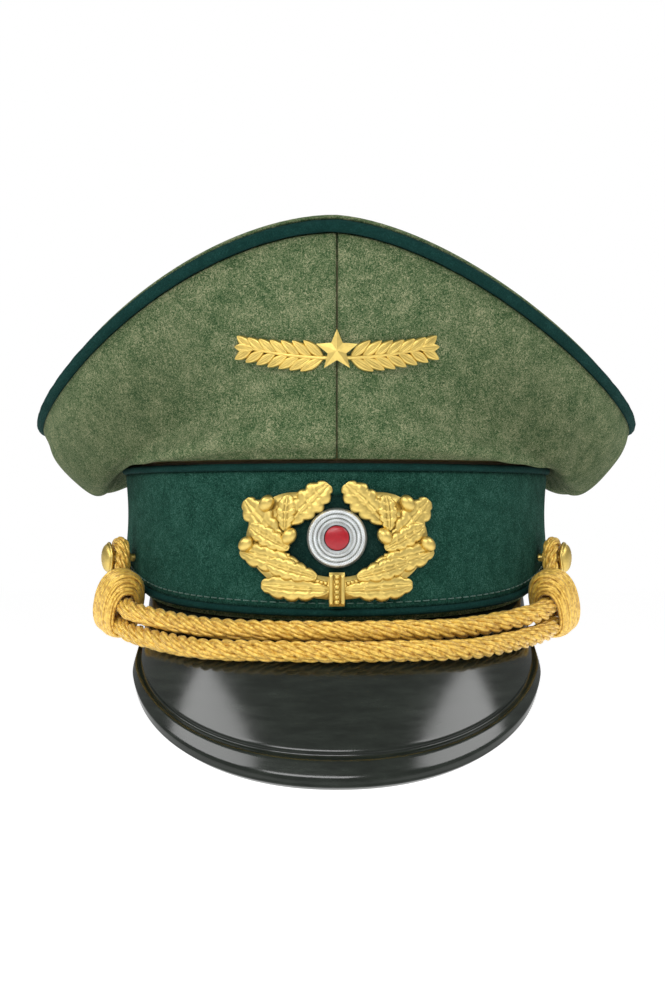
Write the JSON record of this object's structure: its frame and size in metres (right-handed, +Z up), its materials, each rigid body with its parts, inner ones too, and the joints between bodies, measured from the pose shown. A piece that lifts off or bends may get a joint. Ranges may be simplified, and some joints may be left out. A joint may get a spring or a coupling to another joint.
{
  "type": "peaked cap",
  "caption": "Officer-style peaked cap with a saddle-shaped wool crown, a cloth band, a glossy visor, a twin chin cord with slide knots and gilt leaf badges",
  "frame": {"origin": "the middle of the head opening, level with the lower edge of the band at the back", "axes": "+X across the cap to the right as seen from the front, -Y out of the front over the visor, +Z up through the crown"},
  "size_m": [0.2422, 0.281, 0.188],
  "materials": {
    "field_grey_wool": "felted wool",
    "bottle_green_wool": "felted wool",
    "piping_cloth": "smooth wool",
    "lining_satin": "satin",
    "celluloid": "clear",
    "leather": "satin",
    "board": "matt",
    "vulcan_fibre": "polished",
    "spring_steel": "satin",
    "gold_cord": "silky thread",
    "gilt_metal": "satin",
    "silver_metal": "satin",
    "red_enamel": "gloss",
    "dark_cloth": "felted wool"
  },
  "bodies": {
    "cap": {"crown_top_panel": "field_grey_wool", "crown_front_left_panel": "field_grey_wool", "crown_front_right_panel": "field_grey_wool", "crown_rear_right_panel": "field_grey_wool", "crown_rear_left_panel": "field_grey_wool", "band_underlay": "field_grey_wool", "crown_edge_piping": "piping_cloth", "upper_band_piping": "piping_cloth", "lower_band_piping": "piping_cloth", "crown_edge_wire": "spring_steel", "front_stiffener": "board", "band_base_ring": "board", "lining_top": "lining_satin", "lining_wall": "lining_satin", "sweat_shield": "celluloid", "band_cloth": "bottle_green_wool", "sweatband": "leather", "visor": "vulcan_fibre", "right_side_button": "gilt_metal", "left_side_button": "gilt_metal", "right_button_shank": "gilt_metal", "left_button_shank": "gilt_metal", "wreath": "gilt_metal", "wreath_left_prong": "gilt_metal", "wreath_right_prong": "gilt_metal", "crown_badge_spray": "gilt_metal", "crown_badge_star": "gilt_metal", "crown_badge_left_prong": "gilt_metal", "crown_badge_right_prong": "gilt_metal", "cockade_ring": "silver_metal", "cockade_prong": "silver_metal", "cockade_centre": "red_enamel", "wreath_backing": "dark_cloth"},
    "chin_cord": {"chin_cord_upper": "gold_cord", "chin_cord_lower": "gold_cord", "right_cord_loop": "gold_cord", "left_cord_loop": "gold_cord"},
    "left_slide_knot": {"left_knot": "gold_cord"},
    "right_slide_knot": {"right_knot": "gold_cord"}
  },
  "joints": [
    {"name": "chin_cord_swing", "type": "hinge", "parent": "cap", "child": "chin_cord", "pos_m": [0, -0.0425, 0.012], "axis": [-1, 0, 0], "range_deg": [0, 3]},
    {"name": "left_knot_slide", "type": "slide", "parent": "chin_cord", "child": "left_slide_knot", "axis": [0.4535, -0.8667, -0.2079], "range_m": [0, 0.005]},
    {"name": "right_knot_slide", "type": "slide", "parent": "chin_cord", "child": "right_slide_knot", "axis": [-0.4535, -0.8667, -0.2079], "range_m": [0, 0.005]}
  ]
}
